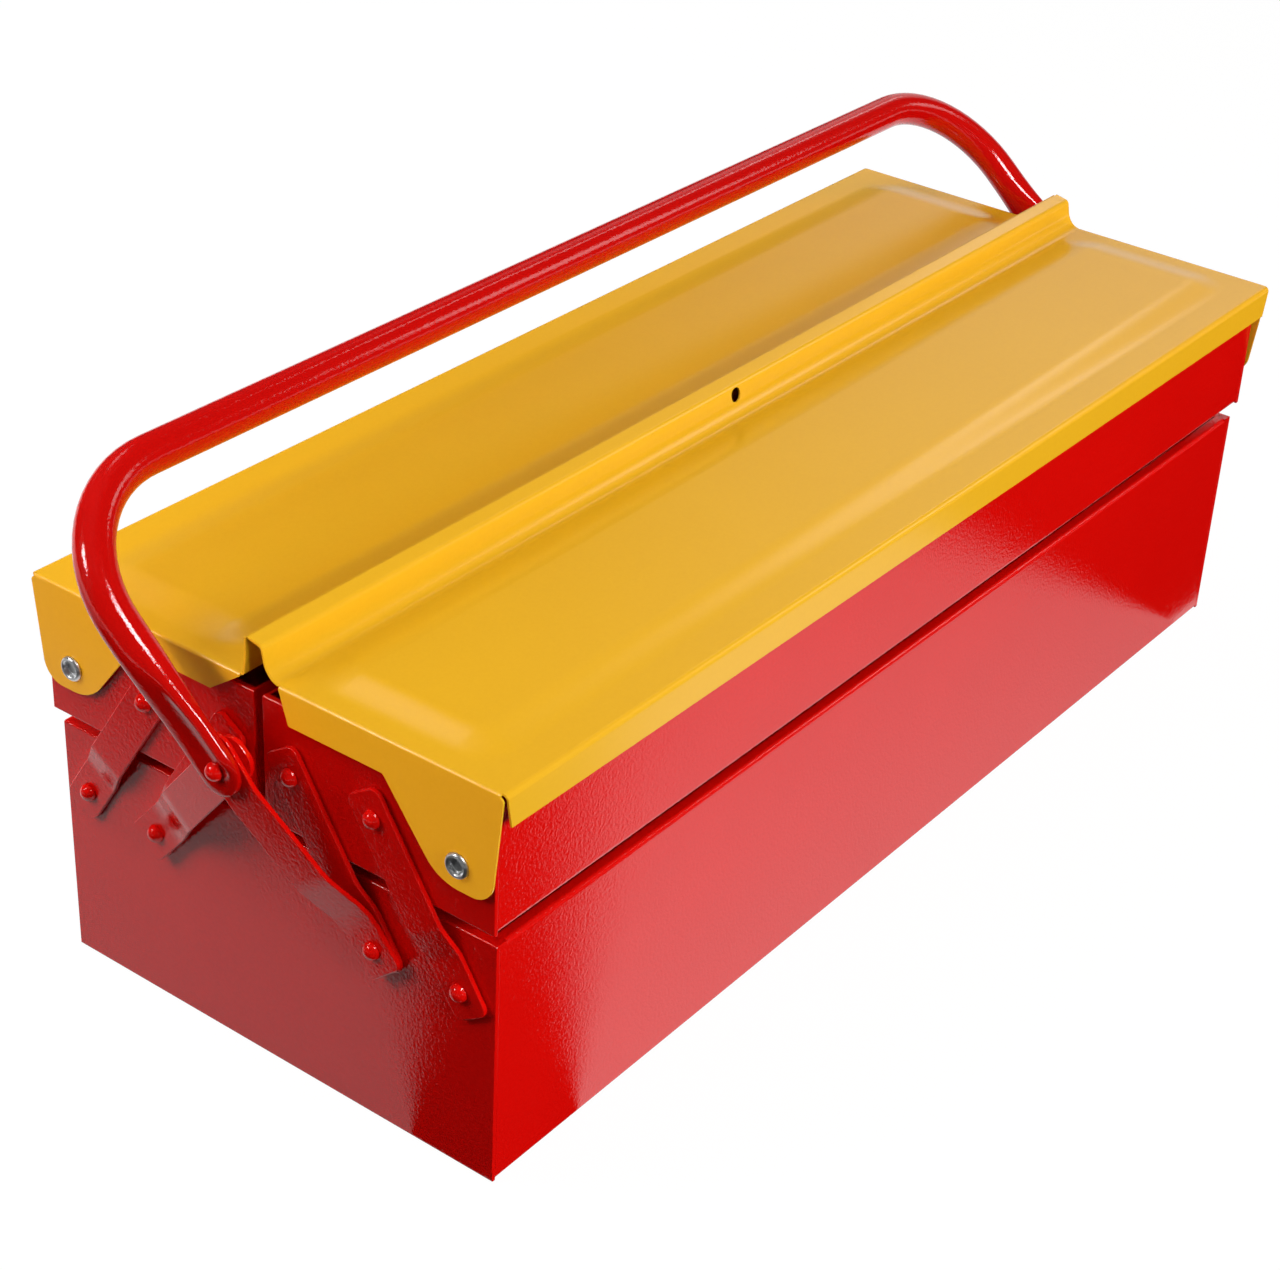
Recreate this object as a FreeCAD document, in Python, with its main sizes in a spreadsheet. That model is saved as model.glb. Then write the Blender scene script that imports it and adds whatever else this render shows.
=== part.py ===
import FreeCAD, Part
import math
import os
from types import SimpleNamespace

import Sketcher

# Steel cantilever tool box with one deep lower box, two upper trays that swing out on cranked links,
# two lids hinged at the outer edges of the trays, and a bent tube handle on two pairs of straps.
# Millimetres. The origin is under the middle of the lower box, X runs along the box, the front faces -Y.
# The left end (-X), front half of each repeated piece is drawn, and the others are its mirror images.

SIZES = {
    # lower box, outside
    "box_length": 530,
    "box_width": 208,
    "box_height": 103,
    # sheet steel, and the depth of the rim that is folded back on itself
    "sheet": 0.8,
    "hem_depth": 8,
    "hem_corner_gap": 0.4,
    # upper trays
    "tray_end_overhang": 3,
    "tray_height": 50.6,
    "tray_overhang": 1.3,
    "tray_floor_gap": 6.4,
    "tray_gap": 4,
    # lids, of which the front one stands a little higher
    "lid_seat_gap": 5.2,
    "front_lid_lift": 2.5,
    "lid_end_gap": 1.3,
    "lid_side_gap": 4.2,
    "skirt_depth": 11,
    "flange_depth": 11.5,
    "flange_cut_run": 7,
    "rear_flange_cut_run": 15,
    "flange_front_gap": 0.6,
    # rib along the inner edge of the front lid, and the upstand of the rear lid behind it
    "rib_foot": 9,
    "rib_crease": 5.5,
    "rib_crease_rise": 4.1,
    "rib_shoulder": 4,
    "rib_shoulder_rise": 11.9,
    "rib_lap": 2.5,
    "rib_lap_rise": 13.3,
    "upstand_gap": 0.9,
    "upstand_rise": 15,
    "upstand_crease_rise": 6,
    "upstand_foot": 5.5,
    "upstand_crease": 4.6,
    # raised panel of each lid
    "panel_end_margin": 9.1,
    "panel_outer_margin": 14.8,
    "panel_inner_margin": 12,
    "panel_raise": 2.5,
    "panel_slope": 14,
    # pivot ear at each outer corner of a lid
    "ear_root_share": 0.52856,
    "ear_heel_share": 0.74796,
    "ear_toe": 5.1,
    "ear_drop": 42.8,
    "ear_toe_round": 9,
    "ear_heel_round": 18,
    # lid pivots, from the tray's outer wall and rim
    "lid_pivot_inset": 14.3,
    "lid_pivot_drop": 26.8,
    # cantilever links: places of their pivots across a tray's width and up its height, and below the box's rim
    "upper_inner_share": 0.14037,
    "pivot_spacing_share": 0.36302,
    "link_run_share": 0.3485,
    "upper_height_share": 0.49407,
    "lower_pivot_drop": 24.5,
    "link_width": 16,
    "link_thick": 2,
    "link_end": 10.5,
    "link_corner": 4,
    "link_crank_start": 14.5,
    "link_crank_run": 10.5,
    # handle straps
    "strap_width": 17,
    "strap_thick": 2,
    "strap_foot": 10,
    "strap_foot_corner": 3,
    "strap_flat": 12,
    "strap_joggle_run": 18,
    "strap_joggle": 8.5,
    "strap_spread": 15.9,
    "strap_head_flat": 12,
    "strap_head": 12,
    "strap_head_corner": 7.5,
    # handle, a bent tube with flattened ends
    "handle_pivot_rise": 4.6,
    "handle_reach": 108,
    "handle_bend": 50,
    "handle_lean": 48.8,
    "tube_diameter": 15,
    "tube_wall": 1.2,
    "tab_thick": 3.4,
    "tab_width": 20,
    "tab_length": 15,
    "tab_blend_share": 0.79,
    # rivets and washers
    "shank_diameter": 5,
    "head_diameter": 7.2,
    "head_height": 3.2,
    "tail_diameter": 8,
    "tail_height": 1.2,
    "eyelet_head_diameter": 10,
    "eyelet_head_height": 1.8,
    "eyelet_bore": 3.4,
    "eyelet_bore_depth": 4,
    "washer_diameter": 10,
    "padlock_bore": 6,
    "padlock_rise": 10.4,
    # clearances
    "side_gap": 0.3,
    "head_gap": 0.2,
    "fit_gap": 0.08,
    "cut_overrun": 5,
}

document = FreeCAD.newDocument("ToolBox")
sheet_object = document.addObject("Spreadsheet::Sheet", "Sizes")
for row, (alias, number) in enumerate(SIZES.items(), start=1):
    sheet_object.set(f"A{row}", alias)
    sheet_object.set(f"B{row}", str(number))
    sheet_object.setAlias(f"B{row}", alias)
document.recompute()


class Size:
    """A size with its value now and the sheet expression that gives it."""

    def __init__(self, value, text):
        self.value = value
        self.text = text

    def __add__(self, other):
        return Size(self.value + other.value, f"({self.text} + {other.text})")

    def __sub__(self, other):
        return Size(self.value - other.value, f"({self.text} - {other.text})")

    def __mul__(self, other):
        other = as_size(other)
        return Size(self.value * other.value, f"({self.text} * {other.text})")

    def __truediv__(self, other):
        other = as_size(other)
        return Size(self.value / other.value, f"({self.text} / {other.text})")

    def __neg__(self):
        return Size(-self.value, f"(-{self.text})")


def as_size(number):
    if isinstance(number, Size):
        return number
    return Size(number, str(number))


def square_root(area):
    return Size(math.sqrt(area.value), f"sqrt({area.text})")


def angle_of(run, rise):
    """Angle in degrees whose tangent is run over rise."""
    return Size(math.degrees(math.atan(run.value / rise.value)), f"atan({run.text} / {rise.text})")


def latitude_of(height, radius):
    """Latitude in degrees on a sphere of that radius, at that height over its middle."""
    return Size(math.degrees(math.asin(height.value / radius.value)), f"asin({height.text} / {radius.text})")


ZERO = as_size(0)
QUARTER_TURN = as_size(90)
AXIS_X = FreeCAD.Vector(1, 0, 0)
AXIS_Y = FreeCAD.Vector(0, 1, 0)
AXIS_Z = FreeCAD.Vector(0, 0, 1)
v = SimpleNamespace(**{alias: Size(number, f"Sizes.{alias}") for alias, number in SIZES.items()})

# Places that several pieces share. Distances along X are outward from the middle of the box.
box_end = v.box_length / 2
box_side = v.box_width / 2
tray_end = box_end + v.tray_end_overhang
tray_side = box_side + v.tray_overhang
tray_inner = v.tray_gap / 2
tray_width = tray_side - tray_inner
tray_floor = v.box_height + v.tray_floor_gap
tray_top = tray_floor + v.tray_height
lid_under = tray_top + v.lid_seat_gap
lid_top = lid_under + v.sheet
front_lid_under = lid_under + v.front_lid_lift
front_lid_top = lid_top + v.front_lid_lift
lid_end_inside = tray_end + v.lid_end_gap
lid_end = lid_end_inside + v.sheet
lid_side_inside = tray_side + v.lid_side_gap
lid_side = lid_side_inside + v.sheet
lid_pivot = (tray_side - v.lid_pivot_inset, tray_top - v.lid_pivot_drop)
upper_inner = tray_inner + tray_width * v.upper_inner_share
upper_outer = upper_inner + tray_width * v.pivot_spacing_share
upper_height = tray_floor + v.tray_height * v.upper_height_share
link_run = tray_width * v.link_run_share
pivot_inner = upper_inner + link_run
pivot_outer = upper_outer + link_run
pivot_height = v.box_height - v.lower_pivot_drop
link_rise = upper_height - pivot_height
link_length = square_root(link_run * link_run + link_rise * link_rise)
link_lean = angle_of(link_run, link_rise)
link_foot_inside = box_end + v.side_gap
link_foot_outside = link_foot_inside + v.link_thick
link_head_outside = tray_end + v.side_gap + v.link_thick
strap_foot_inside = link_foot_outside + v.side_gap
strap_foot_outside = strap_foot_inside + v.strap_thick
handle_pivot_height = upper_height + v.handle_pivot_rise
strap_rise = handle_pivot_height - pivot_height
strap_length = square_root(pivot_inner * pivot_inner + strap_rise * strap_rise)
strap_lean = angle_of(pivot_inner, strap_rise)
strap_top_outside = strap_foot_outside + v.strap_spread
tab_inside = strap_top_outside + v.side_gap
tab_outside = tab_inside + v.tab_thick
tube_plane = tab_inside + v.tab_thick / 2
tube_radius = v.tube_diameter / 2
leg_straight = v.handle_reach - v.handle_bend - v.tab_length
leg_foot = v.tab_length + leg_straight * v.tab_blend_share
shank_radius = v.shank_diameter / 2
hole_radius = shank_radius + v.fit_gap


def bind(thing, prop, size):
    thing.setExpression(prop, size.text)


def place(thing, x=ZERO, y=ZERO, z=ZERO, axis=AXIS_Z, angle=ZERO):
    """Put a thing at a point, turned by an angle about an axis, both tied to the sheet."""
    base = FreeCAD.Vector(x.value, y.value, z.value)
    thing.Placement = FreeCAD.Placement(base, FreeCAD.Rotation(axis, angle.value))
    for letter, size in (("x", x), ("y", y), ("z", z)):
        bind(thing, f"Placement.Base.{letter}", size)
    if angle is not ZERO:
        bind(thing, "Placement.Rotation.Angle", angle)


def block(name, low, high):
    """Box between two corners."""
    box = document.addObject("Part::Box", name)
    for prop, start, end in zip(("Length", "Width", "Height"), low, high):
        bind(box, prop, end - start)
    place(box, *low)
    return box


def rod(name, radius, length, x, y, z, axis, angle):
    """Cylinder that starts at a point, turned from Z by an angle about an axis."""
    cylinder = document.addObject("Part::Cylinder", name)
    bind(cylinder, "Radius", radius)
    bind(cylinder, "Height", length)
    place(cylinder, x, y, z, axis, angle)
    return cylinder


def rod_inward(name, radius, length, start, y, z):
    """Cylinder along +X that starts at a distance out on the left end."""
    return rod(name, radius, length, -start, y, z, AXIS_Y, QUARTER_TURN)


def fuse(name, things):
    union = document.addObject("Part::MultiFuse", name)
    union.Shapes = things
    union.Refine = True
    return union


def cut(name, thing, tools):
    result = document.addObject("Part::Cut", name)
    result.Base = thing
    result.Tool = tools[0] if len(tools) == 1 else fuse(f"{name}_tools", tools)
    result.Refine = False
    return result


def mirror(name, thing, normal):
    image = document.addObject("Part::Mirroring", name)
    image.Source = thing
    image.Normal = normal
    return image


def group(name, things):
    compound = document.addObject("Part::Compound", name)
    compound.Links = things
    return compound


def origin_plane(body, role):
    return next(feature for feature in body.Origin.OriginFeatures if feature.Role == role)


def sketch_in(body, name, role):
    sketch = body.newObject("Sketcher::SketchObject", name)
    sketch.AttachmentSupport = [(origin_plane(body, role), "")]
    sketch.MapMode = "FlatFace"
    return sketch


def pin_point(sketch, line, end, across, up):
    """Tie one end of a line to sheet sizes, measured from the sketch's origin."""
    for kind, own_axis, size in (("DistanceX", -2, across), ("DistanceY", -1, up)):
        if size is ZERO:
            sketch.addConstraint(Sketcher.Constraint("PointOnObject", line, end, own_axis))
            continue
        constraint = Sketcher.Constraint(kind, -1, 1, line, end, size.value)
        index = sketch.addConstraint(constraint)
        sketch.setExpression(f"Constraints[{index}]", size.text)


def draw_outline(sketch, points):
    """Closed outline of straight lines through points given as pairs of sizes."""
    corners = [FreeCAD.Vector(across.value, up.value, 0) for across, up in points]
    for index, corner in enumerate(corners):
        sketch.addGeometry(Part.LineSegment(corner, corners[(index + 1) % len(corners)]))
    for index in range(len(corners)):
        sketch.addConstraint(Sketcher.Constraint("Coincident", index, 2, (index + 1) % len(corners), 1))
    for index, (across, up) in enumerate(points):
        pin_point(sketch, index, 1, across, up)


def draw_circle(sketch, radius, across, up):
    centre = FreeCAD.Vector(across.value, up.value, 0)
    line = sketch.addGeometry(Part.Circle(centre, AXIS_Z, radius.value))
    index = sketch.addConstraint(Sketcher.Constraint("Radius", line, radius.value))
    sketch.setExpression(f"Constraints[{index}]", radius.text)
    pin_point(sketch, line, 3, across, up)


def pad(body, sketch, length, side="One side"):
    feature = body.newObject("PartDesign::Pad", f"{sketch.Name}_pad")
    feature.Profile = sketch
    feature.SideType = side
    bind(feature, "Length", length)
    return feature


def bore_through(body, name, circles):
    """Round holes along X, cut through the whole body."""
    sketch = sketch_in(body, name, "YZ_Plane")
    for radius, across, up in circles:
        draw_circle(sketch, radius, across, up)
    feature = body.newObject("PartDesign::Pocket", f"{name}_cut")
    feature.Profile = sketch
    feature.Type = "ThroughAll"
    feature.SideType = "Symmetric"
    return feature


def round_corners(body, name, radius, is_corner):
    """Round the edges along X whose middle point is a corner by the given test."""
    document.recompute()
    tip = body.Tip
    names = []
    for index, edge in enumerate(tip.Shape.Edges, start=1):
        box = edge.BoundBox
        along_x = box.XLength > max(box.YLength, box.ZLength)
        if along_x and is_corner(box.Center):
            names.append(f"Edge{index}")
    feature = body.newObject("PartDesign::Fillet", name)
    feature.Base = (tip, names)
    bind(feature, "Radius", radius)
    return feature


NODES = []


def keep(label, thing):
    """Name a finished sub-part."""
    thing.Label = label
    NODES.append(thing)
    return thing


def keep_pair(label, thing):
    """A piece of the left end and its mirror image at the right end."""
    keep(f"{label}_left", thing)
    return keep(f"{label}_right", mirror(f"{thing.Name}_right", thing, AXIS_X))


def folded_channel(name, low, high, floor, top, length):
    """Folded sheet with a floor and two long walls, whose rims are folded inward."""
    body = document.addObject("PartDesign::Body", name)
    section = sketch_in(body, f"{name}_section", "YZ_Plane")
    hem_foot = top - v.hem_depth
    double = v.sheet * 2
    inside = floor + v.sheet
    outline = [(low, floor), (high, floor), (high, top), (high - double, top), (high - double, hem_foot),
               (high - v.sheet, hem_foot), (high - v.sheet, inside), (low + v.sheet, inside),
               (low + v.sheet, hem_foot), (low + double, hem_foot), (low + double, top), (low, top)]
    draw_outline(section, outline)
    pad(body, section, length, "Symmetric")
    return body


def end_panel(name, end, low, high, floor, top, holes):
    """Flat end wall with its folded rim, and round holes for rivets given as places across and up."""
    inset = v.sheet * 2 + v.hem_corner_gap
    wall = block(f"{name}_wall", (-end, low, floor), (v.sheet - end, high, top))
    hem = block(f"{name}_hem", (v.sheet - end, low + inset, top - v.hem_depth),
                (v.sheet * 2 - end, high - inset, top))
    drills = [rod_inward(f"{name}_hole_{index}", hole_radius, v.sheet + v.cut_overrun * 2,
                         end + v.cut_overrun, across, up) for index, (across, up) in enumerate(holes)]
    return cut(name, fuse(f"{name}_sheet", [wall, hem]), drills)


# Lower box: a folded channel and two end panels

keep("lower_box_channel", folded_channel("lower_channel", -box_side, box_side, ZERO, v.box_height,
                                         (box_end - v.sheet) * 2))
lower_holes = [(-pivot_outer, pivot_height), (-pivot_inner, pivot_height),
               (pivot_inner, pivot_height), (pivot_outer, pivot_height)]
keep_pair("lower_end_panel", end_panel("lower_panel", box_end, -box_side, box_side, ZERO, v.box_height,
                                       lower_holes))

# Upper trays: the same construction, narrower and longer

tray_channel = keep("front_tray_channel", folded_channel("tray_channel", -tray_side, -tray_inner, tray_floor,
                                                         tray_top, (tray_end - v.sheet) * 2))
keep("rear_tray_channel", mirror("rear_tray_channel", tray_channel, AXIS_Y))
tray_holes = [(-upper_outer, upper_height), (-upper_inner, upper_height), (-lid_pivot[0], lid_pivot[1])]
tray_panel = end_panel("tray_panel", tray_end, -tray_side, -tray_inner, tray_floor, tray_top, tray_holes)
keep_pair("front_tray_end", tray_panel)
keep_pair("rear_tray_end", mirror("rear_tray_panel", tray_panel, AXIS_Y))


def lid_flange(name, inner_edge, cut_run, top):
    """End flange of the front lid at the left end: slanted inner cut, and the pivot ear at the outer corner."""
    body = document.addObject("PartDesign::Body", name)
    section = sketch_in(body, f"{name}_outline", "YZ_Plane")
    flange_foot = lid_top - v.flange_depth
    ear_foot = lid_top - v.ear_drop
    draw_outline(section, [
        (-inner_edge, top), (-inner_edge - cut_run, flange_foot),
        (-lid_side * v.ear_root_share, flange_foot), (-lid_side * v.ear_heel_share, ear_foot),
        (v.ear_toe - lid_side, ear_foot), (v.flange_front_gap - lid_side, top)])
    pad(body, section, v.sheet)
    limit = ear_foot.value + v.sheet.value
    pivot = -lid_pivot[0].value
    round_corners(body, f"{name}_toe_round", v.ear_toe_round,
                  lambda centre: centre.z < limit and centre.y < pivot)
    round_corners(body, f"{name}_heel_round", v.ear_heel_round,
                  lambda centre: centre.z < limit and centre.y > pivot)
    bore_through(body, f"{name}_bore", [(hole_radius, -lid_pivot[0], lid_pivot[1])])
    place(body, -lid_end)
    return body


def raised_panel(name, grow, floor, top):
    """Low frustum of the front lid's raised panel. Its sides stand in by grow, and it may start below the sheet."""
    half = lid_end - v.panel_end_margin - grow
    outer = lid_side - v.panel_outer_margin - grow
    inner = v.panel_inner_margin + grow
    wedge = document.addObject("Part::Wedge", name)
    for prop, size in (("Xmin", -half), ("Xmax", half), ("X2min", v.panel_slope - half),
                       ("X2max", half - v.panel_slope), ("Ymin", ZERO), ("Ymax", top - floor),
                       ("Zmin", inner), ("Zmax", outer), ("Z2min", inner + v.panel_slope),
                       ("Z2max", outer - v.panel_slope)):
        bind(wedge, prop, size)
    place(wedge, z=floor, axis=AXIS_X, angle=QUARTER_TURN)
    return wedge


def front_lid_section():
    """Skirt, flat top and rib of the front lid, as one bent sheet."""
    shoulder = front_lid_top + v.rib_shoulder_rise
    crease = front_lid_top + v.rib_crease_rise
    lap = front_lid_top + v.rib_lap_rise
    return [(-lid_side, lid_top - v.skirt_depth), (-lid_side, front_lid_top), (-v.rib_foot, front_lid_top),
            (-v.rib_crease, crease), (-v.rib_shoulder, shoulder), (v.rib_lap, lap), (v.rib_lap, lap - v.sheet),
            (v.sheet - v.rib_shoulder, shoulder - v.sheet), (v.sheet - v.rib_crease, crease),
            (v.sheet - v.rib_foot, front_lid_under), (-lid_side_inside, front_lid_under),
            (-lid_side_inside, lid_top - v.skirt_depth)]


def rear_lid_section():
    """Skirt, flat top and upstand of the rear lid, as one bent sheet."""
    front_face = v.rib_lap + v.upstand_gap
    top = lid_top + v.upstand_rise
    crease = lid_top + v.upstand_crease_rise
    return [(lid_side, lid_top - v.skirt_depth), (lid_side, lid_top), (v.upstand_foot, lid_top),
            (v.upstand_crease, crease), (front_face + v.sheet, top), (front_face, top),
            (v.upstand_crease - v.sheet, crease), (v.upstand_foot - v.sheet, lid_under),
            (lid_side_inside, lid_under), (lid_side_inside, lid_top - v.skirt_depth)]


def lid(name, outline, inner_edge, cut_run, under, flip):
    """Bent sheet with its two end flanges, its raised panel and the padlock hole. The rear lid flips the flanges."""
    body = document.addObject("PartDesign::Body", f"{name}_bent_sheet")
    section = sketch_in(body, f"{name}_section", "YZ_Plane")
    draw_outline(section, outline)
    pad(body, section, lid_end_inside * 2, "Symmetric")
    top = under + v.sheet
    flange = lid_flange(f"{name}_flange", inner_edge, cut_run, top)
    raised = raised_panel(f"{name}_panel", ZERO, top, top + v.panel_raise)
    hollow = raised_panel(f"{name}_panel_hollow", v.sheet, under, under + v.panel_raise)
    if flip:
        flange = mirror(f"{name}_flange_rear", flange, AXIS_Y)
        raised = mirror(f"{name}_panel_rear", raised, AXIS_Y)
        hollow = mirror(f"{name}_panel_hollow_rear", hollow, AXIS_Y)
    other = mirror(f"{name}_flange_right", flange, AXIS_X)
    padlock = rod(f"{name}_padlock", v.padlock_bore / 2, v.cut_overrun * 4, ZERO, v.cut_overrun * 2,
                  lid_top + v.padlock_rise, AXIS_X, QUARTER_TURN)
    return cut(name, fuse(f"{name}_whole", [body, flange, other, raised]), [hollow, padlock])


# Lids

keep("front_lid", lid("front_lid_sheet", front_lid_section(), v.rib_foot, v.flange_cut_run, front_lid_under,
                      False))
keep("rear_lid", lid("rear_lid_sheet", rear_lid_section(), v.upstand_foot, v.rear_flange_cut_run, lid_under,
                     True))


def cranked_strip(name, path, width, thick, foot_corner, head_corner, holes):
    """Flat strip along local Z that steps outward along -X by a path of heights and offsets."""
    body = document.addObject("PartDesign::Body", name)
    side = sketch_in(body, f"{name}_side", "XZ_Plane")
    inner = [(-offset if offset is not ZERO else ZERO, height) for height, offset in path]
    outer = [(-(offset + thick), height) for height, offset in reversed(path)]
    draw_outline(side, inner + outer)
    pad(body, side, width, "Symmetric")
    foot, head = path[0][0].value, path[-1][0].value
    round_corners(body, f"{name}_foot", foot_corner, lambda centre: centre.z < foot + thick.value)
    round_corners(body, f"{name}_head", head_corner, lambda centre: centre.z > head - thick.value)
    bore_through(body, f"{name}_holes", [(hole_radius, ZERO, height) for height in holes])
    return body


def cantilever_link(name, foot):
    """Link of the front tray at the left end, cranked outward where the longer tray overhangs the box."""
    crank_end = v.link_crank_start + v.link_crank_run
    path = [(-v.link_end, ZERO), (v.link_crank_start, ZERO), (crank_end, v.tray_end_overhang),
            (link_length + v.link_end, v.tray_end_overhang)]
    body = cranked_strip(name, path, v.link_width, v.link_thick, v.link_corner, v.link_corner,
                         [ZERO, link_length])
    place(body, -link_foot_inside, -foot, pivot_height, -AXIS_X, link_lean)
    return body


# Cantilever links, two at each end of each tray

for which, foot in (("outer", pivot_outer), ("inner", pivot_inner)):
    link = cantilever_link(f"{which}_link", foot)
    keep_pair(f"front_{which}_link", link)
    keep_pair(f"rear_{which}_link", mirror(f"{which}_link_rear", link, AXIS_Y))


def handle_strap(name, spread, foot, axis):
    """Strap from a lower inner rivet up to the handle's pivot, flat at both ends and stepped out between."""
    slope_end = strap_length - v.strap_head_flat
    joggle_end = v.strap_flat + v.strap_joggle_run
    path = [(-v.strap_foot, ZERO), (v.strap_flat, ZERO), (joggle_end, v.strap_joggle), (slope_end, spread),
            (strap_length + v.strap_head, spread)]
    body = cranked_strip(name, path, v.strap_width, v.strap_thick, v.strap_foot_corner, v.strap_head_corner,
                         [ZERO, strap_length])
    place(body, -strap_foot_inside, foot, pivot_height, axis, strap_lean)
    return body


# Handle straps: the front strap lies over the rear strap at the pivot

keep_pair("front_handle_strap", handle_strap("front_strap", v.strap_spread, -pivot_inner, -AXIS_X))
keep_pair("rear_handle_strap", handle_strap("rear_strap", v.strap_spread - v.strap_thick, pivot_inner, AXIS_X))


def tube_path():
    """Line of the handle's tube in its own plane: two legs, two bends and the grip, up from the pivot."""
    path = document.addObject("Sketcher::SketchObject", "tube_path")
    place(path, axis=AXIS_X, angle=QUARTER_TURN)
    bend_foot = v.handle_reach - v.handle_bend
    bend_head = tube_plane - v.handle_bend
    places = [(-tube_plane, leg_foot), (-tube_plane, bend_foot), (-bend_head, v.handle_reach),
              (bend_head, v.handle_reach), (tube_plane, bend_foot), (tube_plane, leg_foot)]
    points = [FreeCAD.Vector(across.value, up.value, 0) for across, up in places]
    diagonal = v.handle_bend.value * math.sqrt(1 / 2)
    middles = [FreeCAD.Vector(side * (bend_head.value + diagonal), bend_foot.value + diagonal, 0)
               for side in (-1, 1)]
    path.addGeometry(Part.LineSegment(points[0], points[1]))
    path.addGeometry(Part.Arc(points[1], middles[0], points[2]))
    path.addGeometry(Part.LineSegment(points[2], points[3]))
    path.addGeometry(Part.Arc(points[3], middles[1], points[4]))
    path.addGeometry(Part.LineSegment(points[4], points[5]))
    for line in (0, 2, 4):
        start = line
        pin_point(path, line, 1, *places[start])
        pin_point(path, line, 2, *places[start + 1])
    for line, start_point, end_point in ((1, (0, 2), (2, 1)), (3, (2, 2), (4, 1))):
        ends = [(path.getPoint(line, end) - path.getPoint(*start_point)).Length for end in (1, 2)]
        first, last = (1, 2) if ends[0] < ends[1] else (2, 1)
        path.addConstraint(Sketcher.Constraint("Coincident", line, first, *start_point))
        path.addConstraint(Sketcher.Constraint("Coincident", line, last, *end_point))
        index = path.addConstraint(Sketcher.Constraint("Radius", line, v.handle_bend.value))
        path.setExpression(f"Constraints[{index}]", v.handle_bend.text)
    return path


def swept_round(name, path, radius):
    """Round bar along the tube's line."""
    ring = document.addObject("Part::Circle", f"{name}_ring")
    bind(ring, "Radius", radius)
    place(ring, -tube_plane, z=leg_foot)
    sweep = document.addObject("Part::Sweep", name)
    sweep.Sections = [ring]
    sweep.Spine = (path, [f"Edge{number}" for number in range(1, 6)])
    sweep.Solid = True
    return sweep


def tube_end(name):
    """Flattened left end of the tube: a rounded tab at the pivot that blends into the round tube."""
    half_width = v.tab_width / 2
    plate = block(f"{name}_plate", (-tab_outside, -half_width, ZERO), (-tab_inside, half_width, v.tab_length))
    tip = rod_inward(f"{name}_tip", half_width, v.tab_thick, tab_outside, ZERO, ZERO)
    rings = []
    for part, height, wide, narrow in (("flat", v.tab_length, half_width, v.tab_thick / 2),
                                       ("round", leg_foot, tube_radius, tube_radius)):
        ring = document.addObject("Part::Ellipse", f"{name}_{part}")
        ring.MinorRadius = narrow.value
        ring.MajorRadius = wide.value
        bind(ring, "MajorRadius", wide)
        bind(ring, "MinorRadius", narrow)
        place(ring, -tube_plane, z=height, axis=AXIS_Z, angle=QUARTER_TURN)
        rings.append(ring)
    blend = document.addObject("Part::Loft", f"{name}_blend")
    blend.Sections = rings
    blend.Solid = True
    end = fuse(f"{name}_solid", [plate, tip, blend])
    hole = rod_inward(f"{name}_hole", hole_radius, v.tab_thick + v.cut_overrun * 2, tab_outside + v.cut_overrun,
                      ZERO, ZERO)
    return cut(name, end, [hole])


# Handle: one bent tube, leaning to the rear as it is put down

path = tube_path()
tube = cut("tube", swept_round("tube_bar", path, tube_radius), [swept_round("tube_bore", path, tube_radius - v.tube_wall)])
left_end = tube_end("tube_end")
right_end = mirror("tube_end_right", left_end, AXIS_X)
handle = keep("handle_tube", fuse("handle", [tube, left_end, right_end]))
place(handle, z=handle_pivot_height, axis=-AXIS_X, angle=v.handle_lean)


def rivet(name, seat, inside, y, z, head_diameter, head_height):
    """Domed rivet at the left end: its head sits at a distance out, and its tail at a distance inside."""
    head_radius = head_diameter / 2
    dome_radius = (head_height * head_height + head_radius * head_radius) / (head_height * 2)
    dome_rise = dome_radius - head_height
    dome = document.addObject("Part::Sphere", f"{name}_dome")
    bind(dome, "Radius", dome_radius)
    bind(dome, "Angle1", latitude_of(dome_rise, dome_radius))
    place(dome, dome_rise - seat, y, z, -AXIS_Y, QUARTER_TURN)
    shank = rod_inward(f"{name}_shank", shank_radius, seat - inside, seat, y, z)
    tail = rod_inward(f"{name}_tail", v.tail_diameter / 2, v.tail_height, inside, y, z)
    return fuse(name, [dome, shank, tail])


def both_ends(name, thing):
    return [thing, mirror(f"{name}_other_end", thing, AXIS_X)]


def red_rivet(name, seat, inside, y, z):
    return rivet(name, seat, inside, y, z, v.head_diameter, v.head_height)


# Lower rivets, fixed in the lower box

for which, y, seat in (("outer", pivot_outer, link_foot_outside + v.head_gap),
                       ("inner", pivot_inner, strap_foot_outside)):
    name = f"lower_{which}_rivet"
    ends = both_ends(name, red_rivet(name, seat, box_end - v.sheet, -y, pivot_height))
    rear = [mirror(f"{thing.Name}_rear", thing, AXIS_Y) for thing in ends]
    keep(f"lower_{which}_rivets", group(f"{name}s", ends + rear))

# Upper rivets, fixed in the trays

for which, y in (("outer", upper_outer), ("inner", upper_inner)):
    name = f"upper_{which}_rivet"
    seat = link_head_outside + v.head_gap
    ends = both_ends(name, red_rivet(name, seat, tray_end - v.sheet, -y, upper_height))
    front = keep(f"front_upper_{which}_rivets", group(f"front_{name}s", ends))
    keep(f"rear_upper_{which}_rivets", mirror(f"rear_{name}s", front, AXIS_Y))

# Lid pivots: bare metal eyelets through the ears, with washers that hold the ears off the trays

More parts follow.
